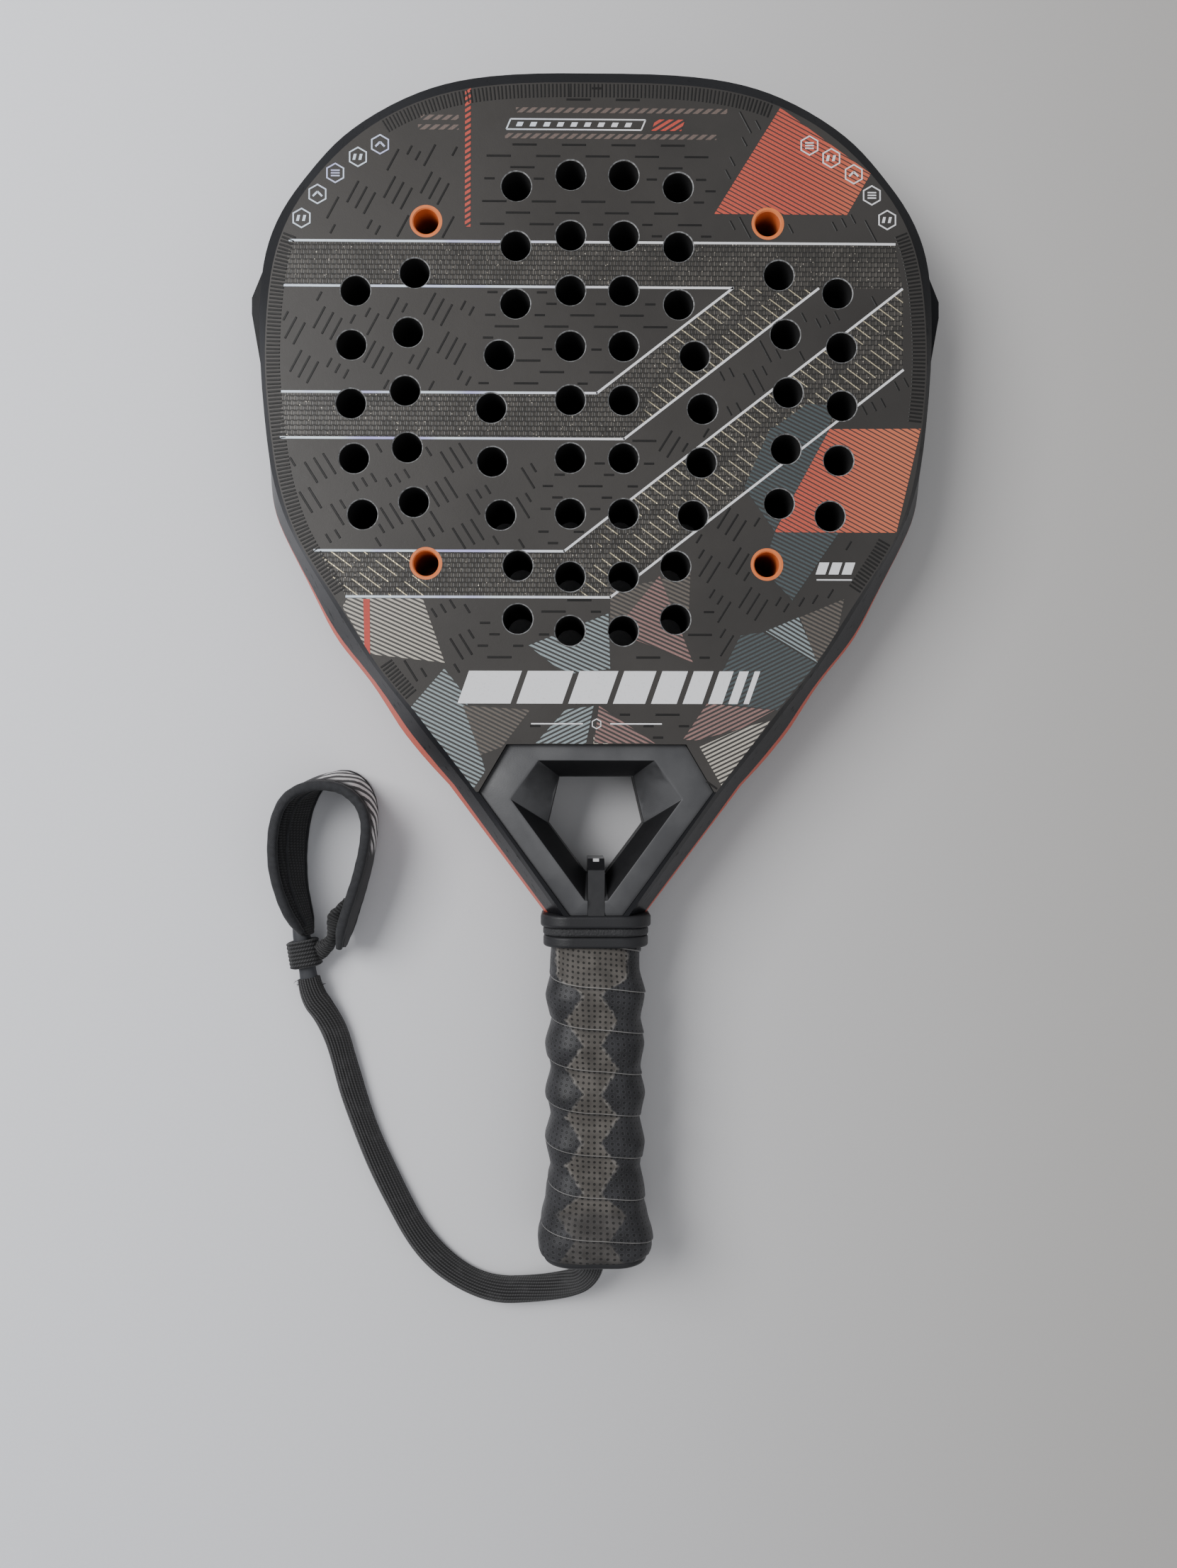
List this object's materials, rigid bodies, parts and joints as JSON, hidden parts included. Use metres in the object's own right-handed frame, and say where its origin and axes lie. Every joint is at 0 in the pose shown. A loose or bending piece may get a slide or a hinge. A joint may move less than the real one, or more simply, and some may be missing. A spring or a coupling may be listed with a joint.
{
  "type": "padel racket",
  "caption": "Teardrop padel racket with a perforated foam-cored head, an open throat, a wrapped handle and a wrist cord that ends in a padded loop with a sliding keeper.",
  "frame": {"origin": "on the rear face, on the middle line of the racket, 226 mm from the tip of the head and 218.5 mm from the butt end", "axes": "+Y along the racket from the butt to the tip of the head, +Z out of the front face, +X to the right seen from the front"},
  "size_m": [0.26, 0.4682, 0.038],
  "materials": {
    "frame_lacquer": "satin black lacquer over carbon fibre, with a red-orange line at the widest edge",
    "face_laminate": "satin charcoal carbon laminate with raised dashes and printed graphics",
    "core_foam": "black closed-cell foam",
    "handle_foam": "black foam",
    "sleeve_orange": "orange moulded plastic",
    "throat_plastic": "satin dark grey moulding",
    "rib_plastic": "black moulding, slightly glossy",
    "sleeve_rubber": "soft black rubber",
    "overgrip_film": "perforated dark grey polyurethane wrap, worn",
    "collar_rubber": "matt black rubber",
    "butt_plastic": "black moulding",
    "anchor_plastic": "black moulding",
    "cord_braid": "flat black tubular braid",
    "neck_rubber": "smooth black rubberised tape",
    "keeper_webbing": "woven black webbing",
    "pad_fabric": "padded black fabric with pale printed bars",
    "lining_fabric": "brushed black lining",
    "binding_tape": "smooth dark grey binding"
  },
  "bodies": {
    "racket": {"frame_tube": "frame_lacquer", "handle_tube": "frame_lacquer", "front_face": "face_laminate", "rear_face": "face_laminate", "foam_core": "core_foam", "handle_core": "handle_foam", "sleeve_upper_right": "sleeve_orange", "sleeve_upper_left": "sleeve_orange", "sleeve_lower_right": "sleeve_orange", "sleeve_lower_left": "sleeve_orange", "throat_front": "throat_plastic", "throat_rear": "throat_plastic", "throat_rib": "rib_plastic", "grip_sleeve": "sleeve_rubber", "overgrip": "overgrip_film", "collar_band_upper": "collar_rubber", "collar_band_middle": "collar_rubber", "collar_band_lower": "collar_rubber", "butt_cap": "butt_plastic", "cord_anchor": "anchor_plastic", "wrist_cord": "cord_braid", "cord_neck": "neck_rubber", "keeper_strip": "keeper_webbing", "wrist_pad": "pad_fabric", "pad_lining": "lining_fabric", "pad_binding": "binding_tape"},
    "keeper": {"keeper_band": "keeper_webbing"}
  },
  "joints": [
    {"name": "keeper_slide", "type": "slide", "parent": "racket", "child": "keeper", "axis": [-0.1732, 0.9849, 0], "range_m": [-0.004, 0.0015]}
  ]
}
